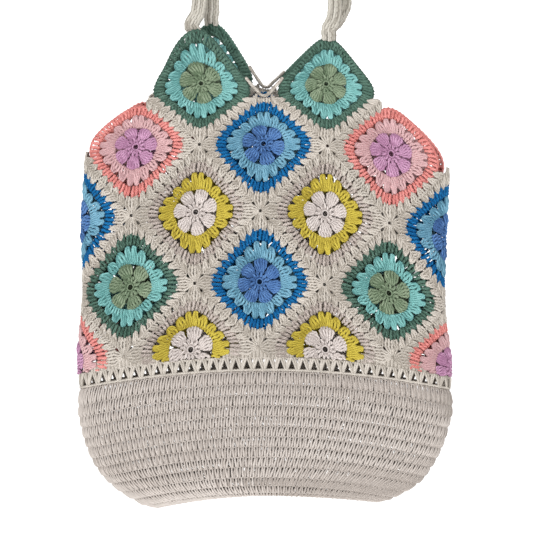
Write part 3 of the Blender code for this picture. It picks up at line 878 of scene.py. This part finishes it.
    def joins(self, skein: Skein, square: Square, rng: np.random.Generator) -> None:
        """The off-white joining round: rounded teeth along each joined side and a seam where they meet.

        Args:
            skein: takes the strands.
            square: the square.
            rng: its random numbers.
        """
        joined = self.sides_joined(square)
        if square.half:
            joined[0] = joined[3] = False
        for side, meets in zip(SIDES, joined):
            if not meets:
                continue
            steps = 0.80 * (np.arange(self.teeth_a_side) + 0.5) / self.teeth_a_side
            places = side.start + 0.25 * (0.10 + steps)
            places = places + rng.normal(0, 0.0009, len(places))
            for place in (-1.0, 0.0, 1.0):
                shares = places[:, None] + place * np.array([0.0020, 0.0056, 0.0084, 0.0086])
                level = np.array([3.80 + 0.10 * abs(place), 4.16, 4.56, 4.95])
                height = np.array([0.7, 1.1, 0.6, -0.1])
                knots = self.spot(shares, level, height)
                skein.twine(knots, np.array([1.15, 1.15, 1.15, 1.05]), Yarn.JOINING, 1.3, 0.6, 6)
            if side.row_step > 0:
                self.seam(skein, side)
        if square.half:
            joined = [True] * 4
        for number in range(4):
            if joined[number] and joined[number - 1]:
                self.corner(skein, number, number == 2 and square.below_neck)

    def seam(self, skein: Skein, side: Side) -> None:
        """The seam along one lower side: two strands wound round each other, clear of the open corners.

        Args:
            skein: takes the strands.
            side: the side that it runs along.
        """
        shares = side.start + 0.25 * np.linspace(self.seam_start, 1 - self.seam_start, self.seam_points)
        phase = np.linspace(0, 2 * math.pi * self.seam_turns, self.seam_points)
        for shift in (0.0, math.pi):
            knots = self.spot(shares, 4.95, 0.05 + 0.75 * np.cos(phase + shift))
            knots[:, :2] += unit(knots[:, :2]) * (0.3 + 0.8 * np.sin(phase + shift))[:, None]
            skein.add_long(knots, 0.95, Yarn.JOINING)

    def corner(self, skein: Skein, number: int, short: bool) -> None:
        """The fan of strands from a square's corner to the point where the corners meet.

        Args:
            skein: takes the strands.
            number: the corner, 0 below, then left, above and right.
            short: whether the fan ends early, under the edging of the neckline.
        """
        share = 0.25 * number
        start = self.spot(np.array([share]), np.array([4.0]), np.array([0.0]))[0, :2]
        end = self.contours[-1].reach * np.sign(start)
        along = (end - start) / np.linalg.norm(end - start)
        beside = np.array([-along[1], along[0]])
        length = np.linalg.norm(end - start)
        reach, spread = (0.22 * length, 4.6) if short else (length - 1.4, 1.1)
        knots = []
        for place in (-1.0, -0.5, 0.0, 0.5, 1.0):
            base = start - along * (0.6 + 1.6 * abs(place)) + beside * place * 4.6
            middle = start + along * min(length * 0.45, reach * 0.7) + beside * place * 5.4
            tip = start + along * reach + beside * place * spread
            between = base * 0.45 + middle * 0.55
            knots.append([(*base, 0.6), (*between, 1.0), (*middle, 0.9), (*tip, 1.0 - 0.5 * abs(place))])
        skein.twine(np.array(knots), np.array([1.1, 1.3, 1.2, 1.0]), Yarn.JOINING, 1.6, 0.6, 6)

    def build(self) -> None:
        """Works and lays every square."""
        for number, square in enumerate(SQUARES):
            rng = np.random.default_rng(self.seed + number)
            flower, ring, outer = square.colourway.value
            turn = rng.uniform(0, 1)
            # The back's holes don't fall behind the front's, so little light comes through the bag.
            first, last = self.back_columns
            behind = first < square.column % self.surface.columns < last
            peak = square.row == 1
            skein = Skein()
            self.disc(skein, flower, turn, behind)
            self.petals(skein, flower, turn, int(rng.choice(self.petal_counts)), behind)
            self.ring(skein, ring, self.back_ring_shift if behind else 0.0, rng)
            self.outer(skein, outer, self.peak_stitches if peak else self.outer_stitches, rng)
            self.joins(skein, square, rng)
            skein.moved(self.onto_map(square))
            size = MM * (self.back_thickness if behind else 1.0) * (self.peak_thickness if peak else 1.0)
            skein.radii = [thick * size for thick in skein.radii]
            if square.half:
                self.cut_half(skein, square)
            skein.moved(self.surface.lay)
            piece = skein.lay("stitches_" + square.node)
            finish_piece(piece, (square.node,))

    def cut_half(self, skein: Skein, square: Square) -> None:
        """Ends a half square at its straight lower edge: strands below it go, and long ones are cut.

        Args:
            skein: the square's strands, on the map.
            square: the half square.
        """
        limit = square.row + self.cut_below
        kept = Skein()
        for path, thick, yarn, closed in skein.strands():
            inside = path[:, 1] < limit
            if inside.all():
                kept.keep(path, thick, yarn, closed)
                continue
            if closed:
                first = int(np.argmin(inside))
                path, thick, inside = (np.roll(v, -first, axis=0) for v in (path, thick, inside))
            if inside.sum() >= 3:
                kept.keep(path[inside], thick[inside], yarn)
        skein.paths, skein.radii = kept.paths, kept.radii
        skein.yarns, skein.closed = kept.yarns, kept.closed


# ------------------------------------------------------------ the base


class MeshPart(NamedTuple):
    """A stretch of the open round: its columns, how far its zigzag stands on, its yarn and its strands."""

    start: float
    end: float
    shift: float
    thick: float
    strands: int


class StitchRow(NamedTuple):
    """A row of the base: its top and bottom on the map, and whether a ridge lies along each."""

    top: float
    bottom: float
    ridge_above: bool
    ridge_below: bool


@dataclass
class CrochetBase:
    """The solid base and the open mesh round above it, worked in rows round the bag."""

    surface: BagSurface
    stitch_pitch: float = 5.1
    mesh_pitch: float = 11.0
    mesh_top: float = 5.155
    mesh_foot: float = 5.290
    post_top: float = 4.960
    post_reach: float = 0.27
    first_ridge: float = 5.51
    ridge_step: float = 0.316
    ridges: int = 6
    middle_height: float = -1.75
    # The back's zigzag stands on and is thicker, so the front's holes don't fall on its own.
    mesh_parts: tuple[MeshPart, ...] = (MeshPart(-1.5, 1.5, 0.0, 1.55, 2), MeshPart(1.5, 4.5, 0.69, 2.1, 3))
    post_thickness: float = 1.35
    cord_thickness: float = 1.15
    chain_thickness: float = 0.95
    # How far each row stands on from the one above, in stitches, and how uneven its stitches are.
    stagger: float = 0.37
    wander: float = 0.03
    sway: float = 0.05
    fewest_stitches: int = 24
    seed: int = 77
    slices: int = 3

    def girth(self, row: float) -> float:
        """The length round the bag at a row, in millimetres."""
        line = self.surface.points[int(round(row / self.surface.bottom_row * self.surface.map_rows))]
        return float(np.linalg.norm(np.roll(line, -1, axis=0) - line, axis=1).sum() / MM)

    def mesh_round(self) -> None:
        """The open round: posts under the squares' corners, then a thick zigzag with triangular holes."""
        skein = Skein()
        around = self.surface.columns
        count = round(self.girth(self.mesh_top) / self.mesh_pitch / around) * around
        pitch = around / count
        for part in self.mesh_parts:
            self.zigzag(skein, part, pitch)
        self.posts(skein, count, pitch)
        for row, swing in ((self.mesh_top - 0.012, 0.012), (self.mesh_foot + 0.012, 0.008)):
            self.cord(skein, row, swing, count * 5)
        skein.moved(self.surface.lay)
        finish_piece(skein.lay("stitches_mesh_round"))

    def zigzag(self, skein: Skein, part: MeshPart, pitch: float) -> None:
        """The crossing strands of one stretch of the open round, which leave triangular holes.

        Args:
            skein: takes the strands.
            part: the stretch.
            pitch: its pitch in columns.
        """
        middle = np.arange(round(part.start / pitch), round(part.end / pitch)) * pitch + part.shift * pitch
        top, foot = self.mesh_top, self.mesh_foot
        rows = np.array([top - 0.01, top + 0.02, foot - 0.045, foot])
        for sign in (-1, 1):
            for strand in range(part.strands):
                reach = np.array([0.08, 0.14, 0.31, 0.41]) + strand * np.array([0.17, 0.19, 0.11, 0.06])
                columns = middle[:, None] + sign * pitch * reach
                heights = np.array([0.3, 0.8, 0.6, 0.0]) - 0.1 * strand
                self.lay_strands(skein, columns, rows, heights, part.thick)

    def posts(self, skein: Skein, count: int, pitch: float) -> None:
        """The short strands that hold the lower corners of the squares to the open round.

        Args:
            skein: takes the strands.
            count: how many pitches go round the bag.
            pitch: the round's pitch in columns.
        """
        places = np.arange(count * 3) * pitch / 3
        places = places[np.abs(places - np.round(places)) < self.post_reach]
        reach = np.abs(places - np.round(places)) / self.post_reach
        start = self.post_top + 0.06 * reach
        rows = start[:, None] + (self.mesh_top - start)[:, None] * np.array([0.0, 0.5, 1.0])
        for sign in (-1, 1):
            columns = places[:, None] + sign * pitch * np.array([0.07, 0.10, 0.06])
            self.lay_strands(skein, columns, rows, np.array([-0.4, 0.2, 0.0]), self.post_thickness)

    def cord(self, skein: Skein, row: float, swing: float, steps: int) -> None:
        """Two strands wound round each other along one row, all the way round the bag.

        Args:
            skein: takes the strands.
            row: the row on the map.
            swing: how far they swing, in rows.
            steps: how many points go round the bag.
        """
        phase = np.arange(steps) * 2 * math.pi / 2.5
        for shift in (0.0, math.pi):
            rows = row + swing * np.sin(phase + shift)
            heights = (0.2 + 0.6 * np.cos(phase + shift) + self.middle_height) * MM
            line = np.stack([np.arange(steps) * self.surface.columns / steps, rows, heights], axis=1)
            skein.add_long(line, self.cord_thickness * MM, Yarn.JOINING, closed=True)

    def lay_strands(self, skein: Skein, columns: Array, rows: Array, heights: Array, thick: float) -> None:
        """Adds strands of the open round from their knots' columns, rows and heights in millimetres.

        Args:
            skein: takes the strands.
            columns: each knot's column.
            rows: each knot's row.
            heights: each knot's height in millimetres.
            thick: the yarn's radius in millimetres.
        """
        columns, rows, heights = np.broadcast_arrays(columns, rows, heights)
        knots = np.stack([columns, rows, (heights + self.middle_height) * MM], axis=-1)
        skein.add(knots, thick * MM, Yarn.JOINING, 5)

    def stitch_rows(self) -> list[StitchRow]:
        """The base's rows, from the top.

        Returns:
            Each row's edges.
        """
        lines = [(self.mesh_foot + 0.03, True), (self.first_ridge, True)]
        for number in range(1, 2 * self.ridges):
            ridge = number % 2 == 0
            lines.append((self.first_ridge + self.ridge_step * number / 2, ridge))
        lines = [line for line in lines if line[0] < self.surface.bottom_row - 0.05]
        lines.append((self.surface.bottom_row - 0.004, True))
        return [StitchRow(a[0], b[0], a[1], b[1]) for a, b in zip(lines, lines[1:])]

    def build(self) -> None:
        """Works and lays the base, in slices of rows that stay light enough to handle."""
        self.mesh_round()
        rng = np.random.default_rng(self.seed)
        rows = self.stitch_rows()
        skeins = [Skein() for _ in range(self.slices)]
        for number, row in enumerate(rows):
            self.stitch_row(skeins[number * self.slices // len(rows)], number, row, rng)
        for number, skein in enumerate(skeins):
            skein.moved(self.surface.lay)
            finish_piece(skein.lay(f"stitches_base_{number + 1}"), ("base",))

    def stitch_row(self, skein: Skein, number: int, row: StitchRow, rng: np.random.Generator) -> None:
        """One row of tall stitches, each two legs that part towards the top, under a slack chain.

        Args:
            skein: takes the strands.
            number: the row's number, from the top.
            row: its edges on the map.
            rng: the base's random numbers.
        """
        top, bottom, ridge_above, ridge_below = row
        girth = self.girth(0.5 * (top + bottom))
        count = max(self.fewest_stitches, round(girth / self.stitch_pitch))
        pitch = self.surface.columns / count
        tall = bottom - top
        uneven = rng.normal(0, self.wander * pitch, count)
        middle = (np.arange(count) + self.stagger * number) * pitch + uneven
        sway = rng.normal(0, self.sway, count)
        tilt = (sway[:, None] * pitch) * np.array([1, 0.6, 0, -0.4, -0.6])
        high, low = -0.9 if ridge_above else -0.4, -0.8 if ridge_below else -0.1
        for sign in (-1, 1):
            across = sign * np.array([0.25, 0.30, 0.26, 0.20, 0.16]) * pitch
            slant = np.array([0.16, 0.08, 0.0, -0.05, -0.08]) * pitch
            columns = middle[:, None] + across + slant + tilt
            rows = np.broadcast_to(top + tall * np.array([0.02, 0.22, 0.5, 0.78, 1.02]), columns.shape)
            heights = np.array([high, 0.35, 0.45, 0.40, low])
            heights = np.broadcast_to(heights + 0.1 * sign, columns.shape)
            knots = np.stack([columns, rows, (heights + self.middle_height) * MM], axis=-1)
            skein.add(knots, np.array([0.90, 1.02, 1.35, 1.55, 1.30]) * MM, Yarn.BASE, 5)
        # The chain that the next row is worked into lies along the top, half hidden.
        steps = count * 3
        phase = np.arange(steps) * 2 * math.pi / 3
        columns = np.arange(steps) * self.surface.columns / steps + self.stagger * number * pitch
        rows = top + tall * (0.06 + 0.05 * np.sin(phase))
        heights = (-0.45 + 0.35 * np.cos(phase) + self.middle_height - (0.5 if ridge_above else 0.0)) * MM
        chain = np.stack([columns, rows, heights], axis=1)
        skein.add_long(chain, self.chain_thickness * MM, Yarn.BASE, closed=True)


# ------------------------------------------------------------ handles and edging


class Knot(NamedTuple):
    """A place on a strand's route: half columns from the middle, share of the way up, and twist."""

    across: float
    rise: float
    twist: float


@dataclass
class Handles:
    """The two long handles, each a thick band of stitches from peak to peak over the hook."""

    surface: BagSurface
    width: float = 0.0125
    thickness: float = 0.008
    hook_diameter: float = 0.030
    spacing: float = 0.0155
    peak_lap: float = 0.008
    peak_lap_shift: float = 0.03
    tip_width: float = 0.007
    border: float = 0.0062
    wall: float = 0.003
    seam_gap: float = 0.0003
    stitch_pitch: float = 5.0 * MM
    braids: int = 7
    yarn_radius: float = 1.65 * MM
    root_overlap: float = 0.004
    # How the section's round corners and its flat faces share the braids out.
    corner_share: float = 0.30
    flat_share: float = 1.8
    hook_degrees: tuple[int, ...] = (-80, -50, -25, 0, 25, 50, 80)
    routes: dict = field(
        default_factory=lambda: {
            ("handle_front", "left"): (
                Knot(-1.185, -0.020, 0.0), Knot(-1.095, 0.033, 0.0), Knot(-1.065, 0.081, 0.05),
                Knot(-0.95, 0.24, 0.3), Knot(-0.74, 0.50, 0.65), Knot(-0.50, 0.75, 0.95),
            ),
            ("handle_front", "right"): (
                Knot(1.055, 0.005, 0.0), Knot(1.085, 0.050, 0.0), Knot(1.080, 0.100, 0.05),
                Knot(0.99, 0.24, 0.3), Knot(0.76, 0.50, 0.65), Knot(0.50, 0.75, 0.95),
            ),
            ("handle_back", "left"): (
                Knot(-0.870, 0.04, 0.0), Knot(-0.868, 0.081, 0.05), Knot(-0.81, 0.24, 0.3),
                Knot(-0.66, 0.50, 0.65), Knot(-0.48, 0.75, 0.95),
            ),
            ("handle_back", "right"): (
                Knot(1.12, 0.010, 0.0), Knot(1.23, 0.060, 0.05), Knot(1.24, 0.12, 0.1),
                Knot(1.12, 0.26, 0.3), Knot(0.82, 0.50, 0.65), Knot(0.52, 0.75, 0.95),
            ),
        }
    )

    def point(self, column: float, row: float, height: float) -> Array:
        """One point of the bag's surface."""
        return self.surface.lay(np.array([[column, row, height]]))[0]

    def strand_knots(self, roots: list[Array], route: tuple[Knot, ...], depth: float) -> list[tuple]:
        """The knots of one strand of a handle, from its roots at a peak up to the hook.

        Args:
            roots: its two lowest places.
            route: the rest of its way up.
            depth: how far behind the middle it passes over the hook.

        Returns:
            Each knot's x, y, z and twist.
        """
        knots = [(*root, 0.0) for root in roots]
        for knot in route:
            z = (knot.rise - 1) * self.surface.handle_drop
            y = roots[-1][1] + (depth - roots[-1][1]) * float(smooth_step(0.0, 0.3, knot.rise))
            knots.append((knot.across * self.surface.half_column, y, z, knot.twist * math.pi / 2))
        return knots

    def hook_knots(self, depth: float) -> list[tuple]:
        """The knots over the hook, from left to right.

        Args:
            depth: how far behind the middle the band lies.

        Returns:
            Each knot's x, y, z and twist.
        """
        radius = (self.hook_diameter + self.thickness) / 2
        knots = []
        for degrees in self.hook_degrees:
            angle = math.radians(degrees)
            z = radius * math.cos(angle) - self.hook_diameter / 2
            knots.append((radius * math.sin(angle), depth, z, math.pi / 2))
        return knots

    def butted_roots(self, column: float, tip_row: float) -> list[Array]:
        """The two lowest knots of a strand that stands on its peak's tip.

        Args:
            column: the peak's column.
            tip_row: the row where its tip is wide enough.

        Returns:
            The two places, the lower first.
        """
        reach = self.tip_width / 2 / (2 * self.surface.half_column)
        tips = [self.point(column + across, tip_row, -self.wall / 2) for across in (-reach, 0.0, reach)]
        root = np.array([tips[1][0], tips[1][1], max(tip[2] for tip in tips) + 2 * self.seam_gap])
        return [root, root + np.array([0.0, 0.0, self.width / 2])]

    def lapped_roots(self, column: float, tip_row: float) -> list[Array]:
        """The two lowest knots of a strand that is sewn behind its peak.

        Args:
            column: the peak's column.
            tip_row: the row where its tip is wide enough.

        Returns:
            The two places, the lower first.
        """
        behind = -(self.wall + 2 * self.seam_gap + self.thickness / 2)
        rows = (tip_row + self.peak_lap / self.surface.row_height, tip_row)
        return [self.point(column, row, behind) for row in rows]

    def stitch_band(self, name: str, knots: list[tuple], overlap: tuple[float, float]) -> None:
        """Covers one band with braids of stitches that run along it.

        Args:
            name: the handle's node.
            knots: x, y, z and twist along its middle.
            overlap: how far the stitches run past each end, over the peak.
        """
        table = np.array(knots)
        lengths = run_lengths(table[:, :3])

        def read(at: Array) -> Array:
            """Reads x, y, z and twist at distances along the band."""
            return np.stack([smooth_column(lengths, column, at) for column in table.T], axis=1)

        def place(points: Array) -> Array:
            """Takes (distance along, share round the section, lift) to metres.

            Args:
                points: N by 3, as above.

            Returns:
                The points in metres, N by 3.
            """
            inside = np.clip(points[:, 0], 0.0, lengths[-1])
            path, ahead = read(inside), read(inside + 1e-4)
            tangent = unit(ahead[:, :3] - path[:, :3])
            sideways = unit(np.cross((0.0, 1.0, 0.0), tangent))
            facing = np.cross(tangent, sideways)
            twist = path[:, 3:4]
            wide = sideways * np.cos(twist) + facing * np.sin(twist)
            thick = np.cross(tangent, wide)
            flat = (self.width - self.thickness) / 2
            loop = self.section_at(points[:, 1], flat, self.thickness / 2 + points[:, 2])
            past = tangent * (points[:, 0] - inside)[:, None]
            return path[:, :3] + past + wide * loop[:, :1] + thick * loop[:, 1:]

        skein = Skein()
        start, end = -overlap[0], lengths[-1] + overlap[1]
        count = round((end - start) / self.stitch_pitch)
        pitch = (end - start) / count
        thick = np.array([0.9, 1.0, 1.05, 0.9]) * self.yarn_radius
        for braid in range(self.braids):
            share = braid / self.braids
            middle = start + (np.arange(count) + 0.5 * (braid % 2)) * pitch
            for sign in (-1, 1):
                along = middle[:, None] + pitch * np.array([-0.15, 0.25, 0.70, 1.15])
                round_share = share + sign * np.array([0.006, 0.030, 0.036, 0.012])
                round_share = np.broadcast_to(round_share, along.shape)
                lift = np.array([-1.6, -0.75, -0.65, -1.5]) * MM + 0.1 * MM * sign
                lift = np.broadcast_to(lift, along.shape)
                stitches = np.stack([np.clip(along, start, end), round_share, lift], axis=-1)
                skein.add(stitches, thick, Yarn.HANDLE, 4)
        skein.moved(place)
        finish_piece(skein.lay("stitches_" + name), (name,))

    def section_at(self, share: Array, flat: float, radius: Array) -> Array:
        """A point of the band's round-ended section at a share of its way round.

        Args:
            share: the share of the way round.
            flat: half the length of its straight part.
            radius: the radius of its ends.

        Returns:
            N by 2: across the band's width and its thickness.
        """
        angle = 2 * math.pi * share
        turned = angle + self.corner_share * np.sin(2 * angle) * 0.5
        reach = np.clip(np.cos(turned) * self.flat_share, -1, 1) * flat
        return np.stack([reach + radius * np.cos(turned), radius * np.sin(turned)], axis=1)

    def build(self) -> None:
        """Works and lays both handles."""
        across = self.surface.across
        tip_row = 2 * self.border / across + self.tip_width / (2 * self.surface.half_column)
        lapped = self.lapped_roots(-0.5 - self.peak_lap_shift, tip_row)
        sides = (
            ("handle_front", -1, lapped, self.butted_roots(0.5, tip_row)),
            ("handle_back", 1, self.butted_roots(3.5, tip_row), self.butted_roots(2.5, tip_row)),
        )
        for name, side, left, right in sides:
            depth = side * self.spacing / 2
            rising = self.strand_knots(left, self.routes[name, "left"], depth)
            falling = self.strand_knots(right, self.routes[name, "right"], depth)[::-1]
            overlap = (0.0 if name == "handle_front" else self.root_overlap, self.root_overlap)
            self.stitch_band(name, rising + self.hook_knots(depth) + falling, overlap)


@dataclass
class NeckEdging:
    """The round edging in the low point of each side of the neckline: three strands laid as a cord."""

    surface: BagSurface
    diameter: float = 0.0036
    reach: float = 0.15
    border: float = 0.0062
    wall: float = 0.003
    seam_gap: float = 0.0003
    twist_pitch: float = 7.0 * MM
    strands: int = 3
    strand_share: float = 0.66
    line_points: int = 90

    def build(self) -> None:
        """Lays the front and the back edging."""
        for name, middle in (("neck_edging_front", 0.0), ("neck_edging_back", 3.0)):
            across = self.surface.across
            lift = (self.border - self.diameter / 2 - 2 * self.seam_gap) / across
            low = 1 + (self.border - self.diameter / 2) / across
            shares = np.array([-1.0, -0.7, -0.4, -0.1, 0.1, 0.4, 0.7, 1.0])
            reach = shares * self.reach
            rows = np.minimum(1 - 2 * np.abs(reach) + 2 * lift, low)
            places = np.stack([middle + reach, rows, np.full(8, -self.wall / 2)], axis=1)
            knots = self.surface.lay(places)
            lengths = run_lengths(knots)
            at = np.linspace(0, lengths[-1], self.line_points)
            line = np.stack([smooth_column(lengths, column, at) for column in knots.T], axis=1)
            tangent = unit(np.gradient(line, axis=0))
            up = unit(np.cross(tangent, (0.0, 1.0, 0.0)))
            out = np.cross(up, tangent)
            skein = Skein()
            radius = self.diameter / 2 * self.strand_share
            for strand in range(self.strands):
                phase = (2 * math.pi * (at / self.twist_pitch + strand / self.strands))[:, None]
                offset = (up * np.cos(phase) + out * np.sin(phase)) * (self.diameter / 2 - radius)
                skein.add_long(line + offset, radius, Yarn.JOINING)
            finish_piece(skein.lay("stitches_" + name), (name,))


# ------------------------------------------------------------ the studio


class SoftBox(NamedTuple):
    """A square lamp: its name, its place, its size in metres and its power in watts."""

    name: str
    place: tuple[float, float, float]
    size: float
    power: float


@dataclass
class Studio:
    """A plain pale floor and backdrop, soft light and a level camera in front of the bag."""

    pixel: float = 0.95 * MM
    distance: float = 2.6
    front: float = -0.008
    centre_height: float = -0.4903
    floor_height: float = -1.05
    picture_width: int = 533
    sensor_width: float = 36.0
    # The paper's half width, its front edge, how far back it lies flat, its bend's radius and its wall.
    paper_reach: float = 9.0
    paper_front: float = -8.0
    paper_length: float = 15.0
    bend_radius: float = 1.0
    bend_steps: int = 16
    wall_height: float = 8.0
    paper_glow: float = 0.62
    surround: float = 0.43
    boxes: tuple[SoftBox, ...] = (
        SoftBox("key_light", (-1.3, -2.2, 0.9), 1.6, 32.0),
        SoftBox("fill_light", (1.7, -2.0, 0.2), 2.0, 15.5),
        SoftBox("top_light", (0.0, -0.2, 1.5), 1.6, 12.0),
    )
    aim: tuple[float, float, float] = (0.0, 0.0, -0.5)

    def camera(self) -> None:
        """The camera, level and centred, as far away as the photograph's flat view needs."""
        data = bpy.data.cameras.new("camera")
        data.sensor_width = self.sensor_width
        data.lens = self.sensor_width * self.distance / (self.picture_width * self.pixel)
        data.clip_end = 50.0
        camera = bpy.data.objects.new("camera", data)
        camera.location = (0.0, self.front - self.distance, self.centre_height)
        camera.rotation_euler = (math.pi / 2, 0.0, 0.0)
        bpy.context.scene.collection.objects.link(camera)
        bpy.context.scene.camera = camera

    def drawn_on(self, bm: bmesh.types.BMesh, edges: list, way: tuple[float, float, float]) -> list:
        """Draws edges out into a flat strip along a way, such as the floor or the wall.

        Args:
            bm: the paper.
            edges: the edges to draw out.
            way: how far and which way.

        Returns:
            The strip's far edges.
        """
        made = bmesh.ops.extrude_edge_only(bm, edges=edges)["geom"]
        verts = [part for part in made if isinstance(part, bmesh.types.BMVert)]
        bmesh.ops.translate(bm, verts=verts, vec=way)
        return [part for part in made if isinstance(part, bmesh.types.BMEdge)]

    def backdrop(self) -> None:
        """One sheet of white paper: a floor that curves up into a wall."""
        bm = bmesh.new()
        ends = [(side * self.paper_reach, self.paper_front, self.floor_height) for side in (-1, 1)]
        edges = [bm.edges.new([bm.verts.new(end) for end in ends])]
        edges = self.drawn_on(bm, edges, (0.0, self.paper_length, 0.0))
        spun = bmesh.ops.spin(
            bm,
            geom=edges,
            cent=(0.0, self.paper_front + self.paper_length, self.floor_height + self.bend_radius),
            axis=(1.0, 0.0, 0.0),
            angle=math.pi / 2,
            steps=self.bend_steps,
        )["geom_last"]
        edges = [part for part in spun if isinstance(part, bmesh.types.BMEdge)]
        self.drawn_on(bm, edges, (0.0, 0.0, self.wall_height))
        mesh = bpy.data.meshes.new("backdrop")
        bm.to_mesh(mesh)
        bm.free()
        mesh.shade_smooth()
        # Matt paper, which glows a little so that it reads as an evenly lit white.
        paper = bpy.data.materials.new("white_paper_backdrop")
        paper.use_nodes = True
        shader = paper.node_tree.nodes["Principled BSDF"]
        shader.inputs["Base Color"].default_value = linear("#FAFAFA")
        shader.inputs["Roughness"].default_value = 0.95
        shader.inputs["Emission Color"].default_value = linear("#FFFFFF")
        shader.inputs["Emission Strength"].default_value = self.paper_glow
        mesh.materials.append(paper)
        sheet = bpy.data.objects.new("backdrop", mesh)
        bpy.context.scene.collection.objects.link(sheet)

    def lights(self) -> None:
        """Soft boxes from the upper left, the right and above, and a pale surround."""
        for box in self.boxes:
            data = bpy.data.lights.new(box.name, "AREA")
            data.shape = "SQUARE"
            data.size = box.size
            data.energy = box.power
            light = bpy.data.objects.new(box.name, data)
            light.location = box.place
            aim = Vector(self.aim) - light.location
            light.rotation_euler = aim.to_track_quat("-Z", "Y").to_euler()
            bpy.context.scene.collection.objects.link(light)
        world = bpy.data.worlds.new("pale_surround")
        world.use_nodes = True
        sky = world.node_tree.nodes["Background"]
        sky.inputs["Color"].default_value = linear("#FFFFFF")
        sky.inputs["Strength"].default_value = self.surround
        bpy.context.scene.world = world

    def build(self) -> None:
        """Sets up the camera, the backdrop and the lights."""
        bpy.context.scene.view_settings.view_transform = "Standard"
        self.camera()
        self.backdrop()
        self.lights()


def main() -> None:
    """Builds the studio and every piece of the bag."""
    logging.basicConfig(level=logging.INFO, format="%(message)s")
    Studio().build()
    surface = BagSurface()
    CrochetSquares(surface).build()
    CrochetBase(surface).build()
    NeckEdging(surface).build()
    Handles(surface).build()


if __name__ == "__main__":
    main()
